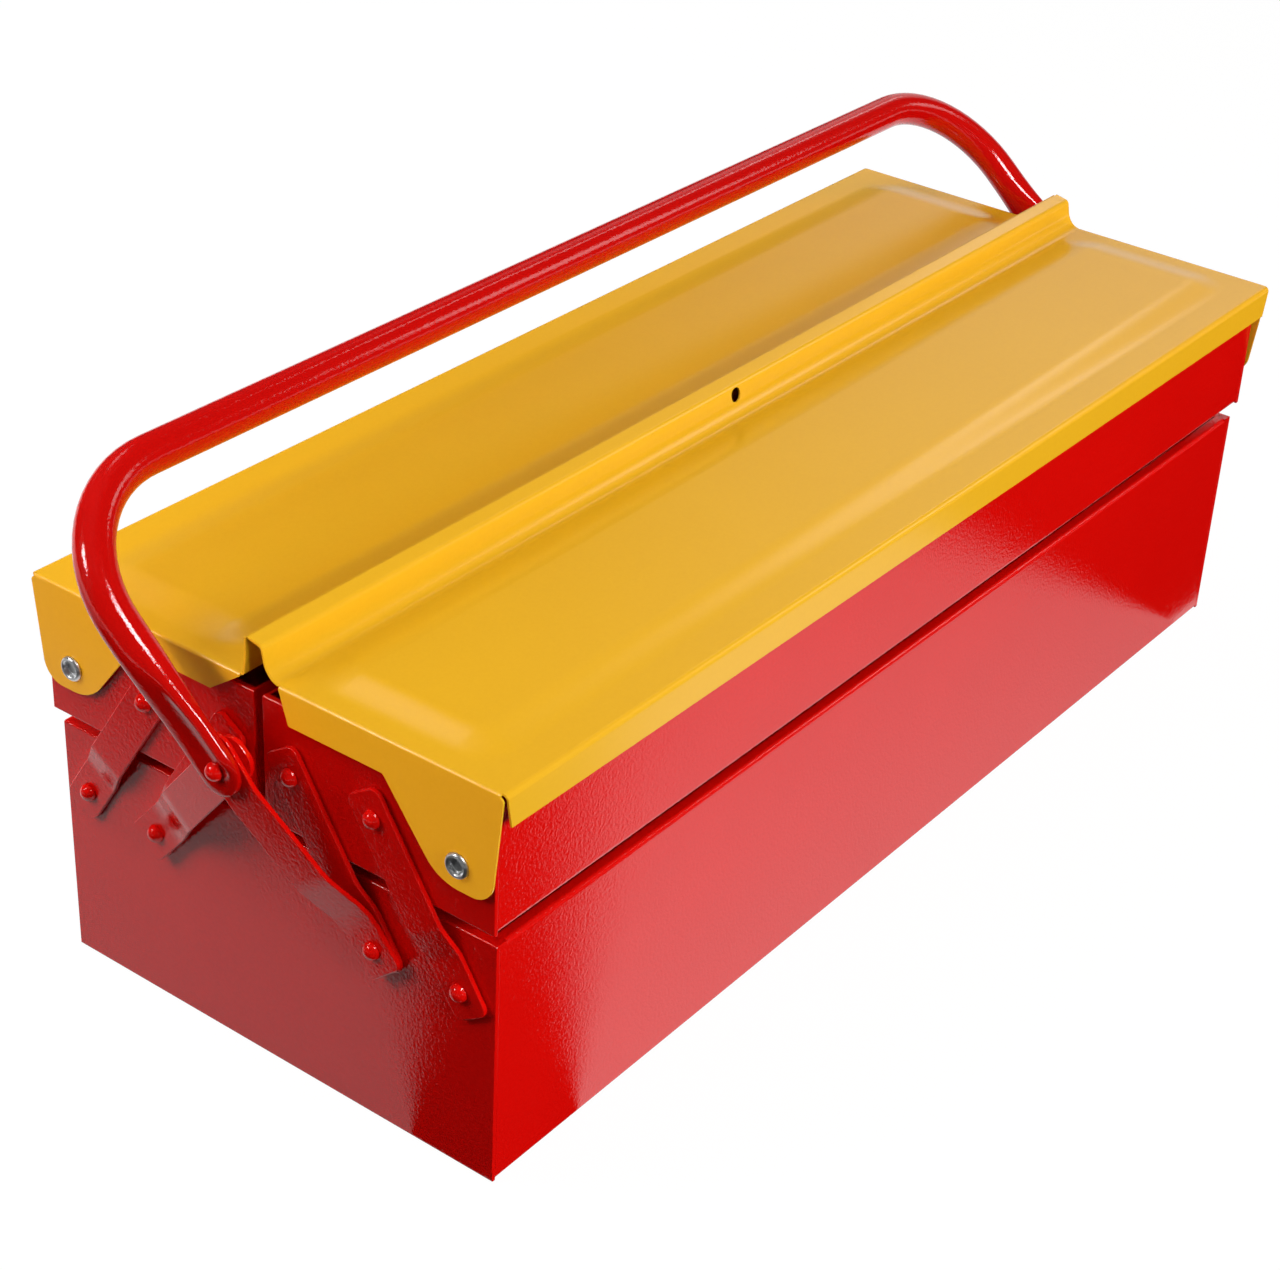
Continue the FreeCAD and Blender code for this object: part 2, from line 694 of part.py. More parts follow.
eyelet_seat = lid_end + v.head_gap
eyelet_solid = rivet("lid_eyelet_solid", eyelet_seat, tray_end - v.sheet, -lid_pivot[0], lid_pivot[1],
                     v.eyelet_head_diameter, v.eyelet_head_height)
eyelet_top = eyelet_seat + v.eyelet_head_height
eyelet_hole = rod_inward("lid_eyelet_hole", v.eyelet_bore / 2, v.eyelet_bore_depth + v.cut_overrun,
                         eyelet_top + v.cut_overrun, -lid_pivot[0], lid_pivot[1])
front_eyelets = keep("front_lid_eyelets", group("front_eyelets", both_ends(
    "lid_eyelet", cut("lid_eyelet", eyelet_solid, [eyelet_hole]))))
keep("rear_lid_eyelets", mirror("rear_eyelets", front_eyelets, AXIS_Y))
washer_disc = rod_inward("lid_washer_disc", v.washer_diameter / 2, v.lid_end_gap - v.head_gap,
                         lid_end_inside - v.head_gap, -lid_pivot[0], lid_pivot[1])
washer_hole = rod_inward("lid_washer_hole", hole_radius, v.lid_end_gap + v.cut_overrun, lid_end_inside,
                         -lid_pivot[0], lid_pivot[1])
front_washers = keep("front_lid_washers", group("front_washers", both_ends(
    "lid_washer", cut("lid_washer", washer_disc, [washer_hole]))))
keep("rear_lid_washers", mirror("rear_washers", front_washers, AXIS_Y))

# Handle pivots, through both straps and the flattened tube ends

handle_rivet = red_rivet("handle_rivet", tab_outside + v.head_gap, strap_top_outside - v.strap_thick * 2, ZERO,
                         handle_pivot_height)
keep("handle_rivets", group("handle_rivets", both_ends("handle_rivet", handle_rivet)))

document.recompute()
for thing in document.Objects:
    if {"Invalid", "Error"} & set(thing.State):
        raise RuntimeError(f"{thing.Name} failed: {thing.State}")
for node in NODES:
    if node.Shape.isNull() or not node.Shape.isValid():
        raise RuntimeError(f"{node.Label} has no valid shape")

os.makedirs("parts", exist_ok=True)
for node in NODES:
    node.Shape.exportStep(f"parts/{node.Label}.step")
    box = node.Shape.BoundBox
    print(f"{node.Label}: {len(node.Shape.Solids)} solids, {node.Shape.Volume:.0f} mm3, "
          f"{box.XLength:.1f} x {box.YLength:.1f} x {box.ZLength:.1f} mm")
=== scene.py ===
"""Looks of a steel cantilever tool box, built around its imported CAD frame. Lengths are in mm."""

import math

import bmesh
import bpy
from mathutils import Matrix, Vector
from mathutils.geometry import delaunay_2d_cdt


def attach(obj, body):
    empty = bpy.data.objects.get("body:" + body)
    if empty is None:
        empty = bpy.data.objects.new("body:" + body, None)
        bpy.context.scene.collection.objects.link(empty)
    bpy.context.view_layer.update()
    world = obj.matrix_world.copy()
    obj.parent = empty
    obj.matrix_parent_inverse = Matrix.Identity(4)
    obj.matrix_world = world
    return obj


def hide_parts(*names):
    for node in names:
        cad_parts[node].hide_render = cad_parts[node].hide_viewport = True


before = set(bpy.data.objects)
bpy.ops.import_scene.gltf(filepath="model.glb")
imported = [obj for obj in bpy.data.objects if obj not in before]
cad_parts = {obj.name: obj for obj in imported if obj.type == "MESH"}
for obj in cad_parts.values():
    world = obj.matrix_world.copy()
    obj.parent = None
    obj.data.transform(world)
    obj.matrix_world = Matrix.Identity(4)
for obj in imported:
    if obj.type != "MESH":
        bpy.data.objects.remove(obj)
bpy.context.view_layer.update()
scene = bpy.context.scene
MM = 0.001

# Pieces are built at the left end of the front, and mirrored by these signs
ENDS = (("left", 1), ("right", -1))
SIDES = (("front", 1), ("rear", -1))

# Sizes of the frame that the pieces follow

SHEET = 0.8
HEM = 8.0
BOX_END = 265.0
BOX_SIDE = 104.0
BOX_TOP = 103.0
TRAY_END = 268.0
TRAY_SIDE = 105.3
TRAY_INNER = 2.0
TRAY_FLOOR = 109.4
TRAY_TOP = 160.0
LID_TOP = 166.0
FRONT_LID_TOP = 168.5
PADLOCK_HEIGHT = 176.4
PADLOCK_RADIUS = 3.0
LID_END = 270.1
LID_SIDE = 110.3
LID_PIVOT = (91.0, 133.2)
SKIRT_FOOT = 155.0
FLANGE_FOOT = 154.5
EAR_FOOT = 123.2
LOWER_HEIGHT = 78.5
LOWER_OUTER = 90.0
LOWER_INNER = 52.5
UPPER_HEIGHT = 134.4
UPPER_OUTER = 54.0
UPPER_INNER = 16.5
LINK_INSIDE = 265.3
STRAP_INSIDE = 267.6
HANDLE_HEIGHT = 139.0
HANDLE_LEAN = math.radians(48.8)
HANDLE_REACH = 108.0
HANDLE_BEND = 50.0
TUBE_PLANE = 287.5
TUBE_RADIUS = 7.5
TAB_HALF_THICK = 1.7
TAB_HALF_WIDTH = 10.0
SHANK = 2.5
HOLE = 2.58


# Shapes as lists of points and faces

def turned(vector, angle):
    """A flat vector turned anticlockwise."""
    cosine = math.cos(angle)
    sine = math.sin(angle)
    return Vector((vector.x * cosine - vector.y * sine, vector.x * sine + vector.y * cosine))


def rounded(points, radii, closed=False, step=15):
    """Flat line through points whose corners are rounded, each by its own radius."""
    line = []
    count = len(points)
    for index, point in enumerate(points):
        here = Vector(point)
        if radii[index] == 0 or (not closed and index in (0, count - 1)):
            line.append(here)
            continue
        before = (Vector(points[index - 1]) - here).normalized()
        after = (Vector(points[(index + 1) % count]) - here).normalized()
        opening = before.angle(after)
        centre = here + (before + after).normalized() * (radii[index] / math.sin(opening / 2))
        reach = radii[index] / math.tan(opening / 2)
        start = here + before * reach - centre
        end = here + after * reach - centre
        turn = math.atan2(start.x * end.y - start.y * end.x, start.dot(end))
        steps = max(2, math.ceil(abs(math.degrees(turn)) / step))
        line += [centre + turned(start, turn * number / steps) for number in range(steps + 1)]
    return line


def smooth_step(share):
    share = min(max(share, 0.0), 1.0)
    return share * share * (3 - 2 * share)


def mix(start, end, share):
    return start + (end - start) * share


def make_object(name, points, faces):
    """Mesh object from points in millimetres."""
    mesh = bpy.data.meshes.new(name)
    mesh.from_pydata([Vector(point) * MM for point in points], [], faces)
    thing = bpy.data.objects.new(name, mesh)
    scene.collection.objects.link(thing)
    return thing


def face_outward(thing):
    work = bmesh.new()
    work.from_mesh(thing.data)
    bmesh.ops.recalc_face_normals(work, faces=work.faces)
    work.to_mesh(thing.data)
    work.free()
    return thing


def join_rings(rings, caps):
    """Faces between rings of equal count, numbered in order. Caps close both ends."""
    count = len(rings[0])
    faces = []
    for ring in range(len(rings) - 1):
        low = ring * count
        for number in range(count):
            after = (number + 1) % count
            faces.append((low + number, low + after, low + count + after, low + count + number))
    if caps:
        faces.append(tuple(range(count)))
        last = (len(rings) - 1) * count
        faces.append(tuple(last + number for number in reversed(range(count))))
    return faces


def loft(name, rings, caps=True):
    points = [point for ring in rings for point in ring]
    return face_outward(make_object(name, points, join_rings(rings, caps)))


def lathe_rings(profile, x, y, z, outward, steps):
    """Rings of a profile of radius and height, turned about an axis along X."""
    turns = [2 * math.pi * number / steps for number in range(steps)]
    rings = []
    for radius, height in profile:
        place = x + outward * height
        rings.append([(place, y + radius * math.cos(turn), z + radius * math.sin(turn))
                      for turn in turns])
    return rings


def rod(name, radius, start, end, y, z, steps=40):
    """Cutter along X."""
    return loft(name, lathe_rings([(radius, start), (radius, end)], 0, y, z, 1, steps))


def join(name, things):
    """One object out of several."""
    points = []
    faces = []
    for thing in things:
        base = len(points)
        points += [vertex.co / MM for vertex in thing.data.vertices]
        for polygon in thing.data.polygons:
            faces.append([base + index for index in polygon.vertices])
        bpy.data.objects.remove(thing)
    return make_object(name, points, faces)


def bake(thing):
    """Put an object's modifiers into its mesh."""
    graph = bpy.context.evaluated_depsgraph_get()
    mesh = bpy.data.meshes.new_from_object(thing.evaluated_get(graph), depsgraph=graph)
    thing.modifiers.clear()
    thing.data = mesh
    return thing


def carve(thing, cutters):
    """Cut other objects out of one."""
    tool = join(f"{thing.name}_cutter", cutters)
    modifier = thing.modifiers.new("cut", "BOOLEAN")
    modifier.operation = "DIFFERENCE"
    modifier.solver = "EXACT"
    modifier.object = tool
    bake(thing)
    bpy.data.objects.remove(tool)
    return thing


def soften(thing, width, angle, segments=2):
    """Round an object's edges that are sharper than an angle."""
    modifier = thing.modifiers.new("edges", "BEVEL")
    modifier.width = width * MM
    modifier.segments = segments
    modifier.limit_method = "ANGLE"
    modifier.angle_limit = math.radians(angle)
    modifier.use_clamp_overlap = True
    return bake(thing)


def copied(thing, name, x_side, y_side):
    """Mirror image of an object over the planes that its signs name."""
    mesh = thing.data.copy()
    mesh.transform(Matrix.Diagonal((x_side, y_side, 1, 1)))
    if x_side * y_side < 0:
        mesh.flip_normals()
    twin = bpy.data.objects.new(name, mesh)
    scene.collection.objects.link(twin)
    return twin


CREASE = math.radians(50)


def dress(thing, name, material, slot, body, *nodes):
    """Finish a piece: its name, smooth shading, material, body and the CAD nodes that it shows."""
    thing.name = name
    thing.data.name = name
    thing.data.shade_smooth()
    thing.data.set_sharp_from_angle(angle=CREASE)
    weights = thing.modifiers.new("normals", "WEIGHTED_NORMAL")
    weights.keep_sharp = True
    thing.data.materials.clear()
    thing.data.materials.append(material)
    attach(thing, body)
    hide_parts(*nodes)
    return thing


# Materials. Noise scales are per metre, and depths of bumps are in metres.

GRAIN_SCALE = 750.0
SKIN_SCALE = 420.0
CLOUD_SCALE = 22.0
GRAIN_SHARE = 0.6
PEEL_DEPTH = 0.0006
SPECK_DEPTH = 0.0002
PAINT_IOR = 1.46
SCRATCH_SCALE = 1500.0
SCRATCH_SHADE = 0.8
SCRATCH_BUMP = 0.15
METAL_ROUGHNESS = (0.26, 0.46)


def add_node(tree, kind, **sockets):
    node = tree.nodes.new(kind)
    for socket, value in sockets.items():
        node.inputs[socket.replace("_", " ")].default_value = value
    return node


def start_material(name):
    material = bpy.data.materials.new(name)
    material.use_nodes = True
    tree = material.node_tree
    return material, tree, tree.nodes["Principled BSDF"]


def add_noise(tree, scale, detail, roughness=0.5):
    place = tree.nodes.new("ShaderNodeTexCoord")
    noise = add_node(tree, "ShaderNodeTexNoise", Scale=scale, Detail=detail, Roughness=roughness)
    tree.links.new(place.outputs["Object"], noise.inputs["Vector"])
    return noise.outputs["Fac"]


def add_range(tree, source, low, high, to_low, to_high):
    span = add_node(tree, "ShaderNodeMapRange", From_Min=low, From_Max=high, To_Min=to_low,
                    To_Max=to_high)
    tree.links.new(source, span.inputs["Value"])
    return span


def add_bump(tree, height, strength, distance, after=None):
    bump = add_node(tree, "ShaderNodeBump", Strength=strength, Distance=distance)
    tree.links.new(height, bump.inputs["Height"])
    if after is not None:
        tree.links.new(after, bump.inputs["Normal"])
    return bump.outputs["Normal"]


def add_mix(tree, factor, low, high):
    """Colour between two, by a value from 0 to 1."""
    blend = tree.nodes.new("ShaderNodeMix")
    blend.data_type = "RGBA"
    blend.inputs["A"].default_value = (*low, 1)
    blend.inputs["B"].default_value = (*high, 1)
    tree.links.new(factor, blend.inputs["Factor"])
    return blend.outputs["Result"]


def paint(name, pale, deep, gloss_low, gloss_high, peel, speck):
    """Sprayed gloss paint: orange peel, fine grain, and small changes of colour and gloss."""
    material, tree, shader = start_material(name)
    grain = add_noise(tree, GRAIN_SCALE, detail=2.0, roughness=0.6)
    skin = add_noise(tree, SKIN_SCALE, detail=1.0)
    clouds = add_noise(tree, CLOUD_SCALE, detail=2.0)
    blend = tree.nodes.new("ShaderNodeMix")
    blend.data_type = "FLOAT"
    blend.inputs["Factor"].default_value = GRAIN_SHARE
    tree.links.new(clouds, blend.inputs["A"])
    tree.links.new(grain, blend.inputs["B"])
    colour = add_mix(tree, blend.outputs["Result"], deep, pale)
    tree.links.new(colour, shader.inputs["Base Color"])
    gloss = add_range(tree, grain, 0.0, 1.0, gloss_low, gloss_high)
    tree.links.new(gloss.outputs["Result"], shader.inputs["Roughness"])
    broad = add_bump(tree, skin, peel, PEEL_DEPTH)
    fine = add_bump(tree, grain, speck, SPECK_DEPTH, broad)
    tree.links.new(fine, shader.inputs["Normal"])
    shader.inputs["IOR"].default_value = PAINT_IOR
    return material


def bright_metal(name, colour):
    """Zinc-plated steel with fine scratches."""
    material, tree, shader = start_material(name)
    scratches = add_noise(tree, SCRATCH_SCALE, detail=4.0, roughness=0.7)
    gloss = add_range(tree, scratches, 0.0, 1.0, *METAL_ROUGHNESS)
    tree.links.new(gloss.outputs["Result"], shader.inputs["Roughness"])
    tint = tree.nodes.new("ShaderNodeValToRGB")
    tint.color_ramp.elements[0].color = (*[part * SCRATCH_SHADE for part in colour], 1)
    tint.color_ramp.elements[1].color = (*colour, 1)
    tree.links.new(scratches, tint.inputs["Fac"])
    tree.links.new(tint.outputs["Color"], shader.inputs["Base Color"])
    fine = add_bump(tree, scratches, SCRATCH_BUMP, SPECK_DEPTH)
    tree.links.new(fine, shader.inputs["Normal"])
    shader.inputs["Metallic"].default_value = 1.0
    return material


red = paint("red_gloss_paint", (0.825, 0.004, 0.002), (0.65, 0.002, 0.001), 0.05, 0.12, 0.06, 0.8)
# The handle's paint is a darker copy of the same red, which paints shade on the whole handle.
shaded_red = paint("handle_shaded_paint", (0.59, 0.003, 0.0015), (0.465, 0.0015, 0.001), 0.05, 0.12,
                 0.06, 0.4)
yellow = paint("yellow_gloss_paint", (0.78, 0.439, 0.013), (0.72, 0.392, 0.011), 0.18, 0.28,
               0.03, 0.03)
zinc = bright_metal("zinc_plating", (0.86, 0.87, 0.88))


# Lower box and trays: folded sheets with turned-in rims, and end walls that lap round the corners

LAP = 1.8
BOX_RIM = 5.6
BOX_RIM_DEPTH = 2.0
BOX_FOLD = 2.0
TRAY_FOLD = 2.8
RIM_OUTER_ROUND = 1.9
RIM_INNER_ROUND = 0.9
RIM_OUTER_SHARE = 0.48
RIM_INNER_SHARE = 0.45
RIM_LIP_ROUND = 0.3
WALL_ROUNDS = [0.8, 0.8, 0.5, 0.3, 0, 0.3]
DRILL_REACH = 5.0
SHEET_EDGE = 0.3
WALL_EDGE = 0.6
EDGE_ANGLE = 60


def channel(name, low, high, floor, top, half_length, rim, rim_depth, fold):
    """Folded sheet along X: a floor and two walls, with a rim along the top of each."""
    inside = floor + SHEET
    lip = top - rim_depth
    corners = [(low, floor), (high, floor), (high, top), (high - rim, top), (high - rim, lip),
               (high - SHEET, lip), (high - SHEET, inside), (low + SHEET, inside),
               (low + SHEET, lip), (low + rim, lip), (low + rim, top), (low, top)]
    outer = min(RIM_OUTER_ROUND, rim * RIM_OUTER_SHARE)
    inner = min(RIM_INNER_ROUND, rim * RIM_INNER_SHARE)
    rim_radii = [outer, inner, RIM_LIP_ROUND, 0]
    inside_radii = [fold - SHEET, fold - SHEET]
    line = rounded(corners, [fold, fold] + rim_radii + inside_radii + rim_radii[::-1], True)
    rings = [[(x, point.x, point.y) for point in line] for x in (-half_length, half_length)]
    return soften(loft(name, rings), SHEET_EDGE, EDGE_ANGLE)


def end_wall(name, end, low, high, floor, top, rim, rim_depth, holes):
    """End wall at the left, with its rim and the holes for its rivets."""
    lip = top - rim_depth
    corners = [(-end, floor), (-end, top), (rim - end, top), (rim - end, lip), (LAP - end, lip),
               (LAP - end, floor)]
    line = rounded(corners, WALL_ROUNDS, True)
    rings = [[(point.x, y, point.y) for point in line] for y in (low, high)]
    wall = loft(name, rings)
    carve(wall, [rod("drill", HOLE, -end - DRILL_REACH, DRILL_REACH - end, y, z)
                 for y, z in holes])
    return soften(wall, WALL_EDGE, EDGE_ANGLE, 3)


box = channel("lower_box_sheet", -BOX_SIDE, BOX_SIDE, 0, BOX_TOP, BOX_END - LAP, BOX_RIM,
              BOX_RIM_DEPTH, BOX_FOLD)
dress(box, "lower_box_sheet", red, "red_paint", "lower_box", "lower_box_channel")
lower_holes = [(y, LOWER_HEIGHT) for y in (-LOWER_OUTER, -LOWER_INNER, LOWER_INNER, LOWER_OUTER)]
wall = end_wall("lower_wall", BOX_END, -BOX_SIDE, BOX_SIDE, 0, BOX_TOP, BOX_RIM, BOX_RIM_DEPTH,
                lower_holes)
for end, x_side in ENDS:
    dress(copied(wall, "wall", x_side, 1), f"lower_end_wall_{end}", red, "red_paint", "lower_box",
          f"lower_end_panel_{end}")
bpy.data.objects.remove(wall)
tray = channel("tray", -TRAY_SIDE, -TRAY_INNER, TRAY_FLOOR, TRAY_TOP, TRAY_END - LAP, SHEET * 2,
               HEM, TRAY_FOLD)
tray_holes = [(-UPPER_OUTER, UPPER_HEIGHT), (-UPPER_INNER, UPPER_HEIGHT),
              (-LID_PIVOT[0], LID_PIVOT[1])]
wall = end_wall("tray_wall", TRAY_END, -TRAY_SIDE, -TRAY_INNER, TRAY_FLOOR, TRAY_TOP, LAP + SHEET,
                HEM, tray_holes)
for side, y_side in SIDES:
    dress(copied(tray, "tray", 1, y_side), f"{side}_tray_sheet", red, "red_paint", f"{side}_tray",
          f"{side}_tray_channel")
    for end, x_side in ENDS:
        dress(copied(wall, "wall", x_side, y_side), f"{side}_tray_wall_{end}", red, "red_paint",
              f"{side}_tray", f"{side}_tray_end_{end}")
bpy.data.objects.remove(tray)
bpy.data.objects.remove(wall)


# Lids: bent sheets with a raised panel, a skirt, end flanges with pivot ears, and a rib or upstand

END_FOLD = 1.2
END_FOLD_STEPS = 6
SKIRT_BEND = 2.2
SKIRT_END = 266.4
FLANGE_EDGE = 0.7
FLANGE_EASE = 0.4
EAR_TOE = 5.1
EAR_HEEL = -82.5
EAR_ROOT = -58.3
EAR_TOE_ROUND = 9.0
EAR_HEEL_ROUND = 18.0
EAR_ROOT_ROUND = 2.0
CUT_ROUND = 0.8
PANEL_END = 263.0
PANEL_OUTER = -97.5
PANEL_INNER = -12.0
PANEL_RISE = 2.5
PANEL_SLOPE = 18.0
PANEL_ROUND = 19.0
ROW_GAP = 6.0
COLUMN_GAP = 14.0
FINE_GAP = 0.7
COARSE_GAP = 2.0
COARSE_ROWS = 14.0
COARSE_COLUMNS = 16.0
SAME_PLACE = 0.05
SAME_POINT = 0.02
SAME_HEIGHT = 0.001
SAME_CORNER = 0.0001
PADLOCK_SPAN = (-30, 20)
PADLOCK_STEPS = 40
EAR_DRILL_STARTS = (-275, 265)
EAR_DRILL_LENGTH = 10
LID_EDGE = 0.2
LID_EDGE_ANGLE = 55


def panel_height(x, y):
    """How far the raised panel stands over the lid's flat at a place."""
    middle = (PANEL_OUTER + PANEL_INNER) / 2
    half = (PANEL_INNER - PANEL_OUTER) / 2
    across = abs(x) - (PANEL_END - PANEL_ROUND)
    along = abs(y - middle) - (half - PANEL_ROUND)
    corner = math.hypot(max(across, 0), max(along, 0))
    outside = corner + min(max(across, along), 0) - PANEL_ROUND
    return PANEL_RISE * smooth_step(-outside / PANEL_SLOPE)


def spread(low, high, gap):
    """Even places from low to high, at most a gap apart."""
    count = max(1, math.ceil((high - low) / gap))
    return [mix(low, high, number / count) for number in range(count + 1)]


def slope_places(edge, inward, coarse):
    """Places over one slope of the raised panel, from its edge inward, fine and coarse."""
    fine_low, fine_high = sorted((edge, edge + inward * PANEL_SLOPE))
    coarse_low, coarse_high = sorted((edge, edge + inward * coarse))
    return spread(fine_low, fine_high, FINE_GAP) + spread(coarse_low, coarse_high, COARSE_GAP)


def merged(values):
    """Values in order, without those that nearly repeat the one before."""
    found = []
    for value in sorted(values):
        if not found or value - found[-1] > SAME_PLACE:
            found.append(value)
    return found


def flange_outline(first, rows, cut_run, top):
    """Outline of an end flange, down from its fold: outer edge, ear and slanted inner cut."""
    fold = top - END_FOLD
    corners = [(rows[0], fold), (FLANGE_EDGE - LID_SIDE, fold), (EAR_TOE - LID_SIDE, EAR_FOOT),
               (EAR_HEEL, EAR_FOOT), (EAR_ROOT, FLANGE_FOOT), (-first - cut_run, FLANGE_FOOT),
               (rows[-1], fold)]
    radii = [0, SKIRT_BEND - FLANGE_EASE, EAR_TOE_ROUND, EAR_HEEL_ROUND, EAR_ROOT_ROUND,
             CUT_ROUND, 0]
    ridge = [Vector((y, fold)) for y in reversed(rows[1:-1])]
    return rounded(corners, radii, step=6) + ridge


def lid_surface(name, corners, radii, first, cut_run, top):
    """Open surface of a front lid's outer face: rows along its bent section, columns along X."""
    line = rounded(corners, radii, step=10)
    flat_start = next(index for index, point in enumerate(line) if point.y > top - SAME_HEIGHT)
    flat_end = max(index for index, point in enumerate(line) if abs(point.y - top) < SAME_HEIGHT)
    flats = merged(spread(line[flat_start].x, line[flat_end].x, ROW_GAP)
                   + slope_places(PANEL_OUTER, 1, COARSE_ROWS)
                   + slope_places(PANEL_INNER, -1, COARSE_ROWS))
    section = line[:flat_start] + [Vector((y, top)) for y in flats] + line[flat_end + 1:]
    flat_rows = range(flat_start, flat_start + len(flats))
    reach = LID_END - END_FOLD
    half = merged(spread(0, reach, COLUMN_GAP) + slope_places(PANEL_END, -1, COARSE_COLUMNS))
    columns = [-x for x in reversed(half[1:])] + half
    points = []
    faces = []
    for index, place in enumerate(section):
        if index in flat_rows:
            end = reach
        elif index < flat_start:
            end = mix(reach, SKIRT_END, (top - place.y) / (top - SKIRT_FOOT))
        else:
            end = LID_END - SHEET
        for x in columns:
            rise = panel_height(x, place.x) if index in flat_rows else 0
            points.append((x * end / reach, place.x, place.y + rise))
    wide = len(columns)
    for row in range(len(section) - 1):
        for column in range(wide - 1):
            corner = row * wide + column
            faces.append((corner, corner + 1, corner + wide + 1, corner + wide))
    outline = flange_outline(first, flats, cut_run, top)
    rim = [(number, (number + 1) % len(outline)) for number in range(len(outline))]
    places, _, cells, _, _, _ = delaunay_2d_cdt(outline, rim, [], 1, SAME_CORNER)
    for side in (-1, 1):
        edge = 0 if side < 0 else wide - 1
        strips = [[row * wide + edge for row in flat_rows]]
        for step in range(1, END_FOLD_STEPS + 1):
            angle = math.pi / 2 * step / END_FOLD_STEPS
            x = side * (reach + END_FOLD * math.sin(angle))
            z = top - END_FOLD + END_FOLD * math.cos(angle)
            strips.append([len(points) + number for number in range(len(flats))])
            points += [(x, y, z) for y in flats]
        for before, after in zip(strips, strips[1:]):
            for number in range(len(flats) - 1):
                quad = (before[number], before[number + 1], after[number + 1], after[number])
                faces.append(quad if side < 0 else quad[::-1])
        base = len(points)
        points += [(side * LID_END, place.x, place.y) for place in places]
        for cell in cells:
            first_edge = places[cell[1]] - places[cell[0]]
            flip = first_edge.cross(places[cell[2]] - places[cell[0]]) > 0
            order = cell[::-1] if flip == (side < 0) else cell
            faces.append(tuple(base + index for index in order))
    thing = make_object(name, points, faces)
    work = bmesh.new()
    work.from_mesh(thing.data)
    bmesh.ops.remove_doubles(work, verts=work.verts, dist=SAME_POINT * MM)
    bmesh.ops.recalc_face_normals(work, faces=work.faces)
    centres = {face: face.calc_center_median() for face in work.faces}
    middle = max(work.faces, key=lambda face: centres[face].z - abs(centres[face].x))
    if middle.normal.z < 0:
        bmesh.ops.reverse_faces(work, faces=work.faces)
    work.to_mesh(thing.data)
    work.free()
    return thing


def padlock_drill():
    """Cutter along Y."""
    turns = [2 * math.pi * number / PADLOCK_STEPS for number in range(PADLOCK_STEPS)]
    circle = [(PADLOCK_RADIUS * math.cos(turn), PADLOCK_HEIGHT + PADLOCK_RADIUS * math.sin(turn))
              for turn in turns]
    return loft("padlock", [[(x, y, z) for x, z in circle] for y in PADLOCK_SPAN])


def lid(name, corners, radii, first, cut_run, top):
    """Lid as the front one lies: its surface made a sheet, drilled, and its edges softened."""
    thing = lid_surface(name, corners, radii, first, cut_run, top)
    sheet = thing.modifiers.new("sheet", "SOLIDIFY")
    sheet.thickness = SHEET * MM
    sheet.offset = -1
    sheet.use_even_offset = True
    bake(thing)
    cutters = [padlock_drill()]
    for start in EAR_DRILL_STARTS:
        end = start + EAR_DRILL_LENGTH
        cutters.append(rod("drill", HOLE, start, end, -LID_PIVOT[0], LID_PIVOT[1]))
    carve(thing, cutters)
    return soften(thing, LID_EDGE, LID_EDGE_ANGLE)


RIB_FOOT = 9.0
RIB_CUT = 7.0
RIB = [(-RIB_FOOT, FRONT_LID_TOP), (-5.5, 172.6), (-4.0, 180.4), (2.5, 181.8)]
RIB_RADII = [6.0, 8.0, 2.5, 0]
UPSTAND_FOOT = 5.5
UPSTAND_CUT = 15.0
UPSTAND = [(-UPSTAND_FOOT, LID_TOP), (-4.6, 172.0), (-4.2, 181.0)]
UPSTAND_RADII = [1.2, 3.0, 0]
front = lid("front_lid_shape", [(-LID_SIDE, SKIRT_FOOT), (-LID_SIDE, FRONT_LID_TOP)] + RIB,
            [0, SKIRT_BEND] + RIB_RADII, RIB_FOOT, RIB_CUT, FRONT_LID_TOP)
dress(front, "front_lid_sheet", yellow, "yellow_paint", "front_lid", "front_lid")
shape = lid("rear_lid_shape", [(-LID_SIDE, SKIRT_FOOT), (-LID_SIDE, LID_TOP)] + UPSTAND,
            [0, SKIRT_BEND] + UPSTAND_RADII, UPSTAND_FOOT, UPSTAND_CUT, LID_TOP)
rear = dress(copied(shape, "rear", 1, -1), "rear_lid_sheet", yellow, "yellow_paint", "rear_lid",
             "rear_lid")
bpy.data.objects.remove(shape)


# Links and handle straps: flat strips with rounded ends, cranked outward along their length

STRIP_EDGE = 0.45
STRIP_EDGE_SHARE = 0.98
STRIP_INSET_SHARE = 0.7
STRIP_END_STEPS = 6
STRIP_DRILL = (-300, -260)
STRIP_THICK = 2.0
LINK_END = 10.5
LINK_FLAT = 13.0
LINK_CRANK_END = 24.0
LINK_CRANK = 3.0
LINK_BEND = 14.0
LINK_HALF_WIDTH = 8.0
LINK_ROUND = 4.0
STRAP_FOOT = 10.0
STRAP_FLAT = 12.0
STRAP_JOGGLE_END = 30.0
STRAP_JOGGLE = 8.5
STRAP_BEND = 24.0
STRAP_HALF_WIDTH = 8.5
STRAP_FOOT_ROUND = 3.0
STRAP_HEAD_ROUND = 7.5
STRAP_SPREADS = {"front": 15.9, "rear": 13.9}


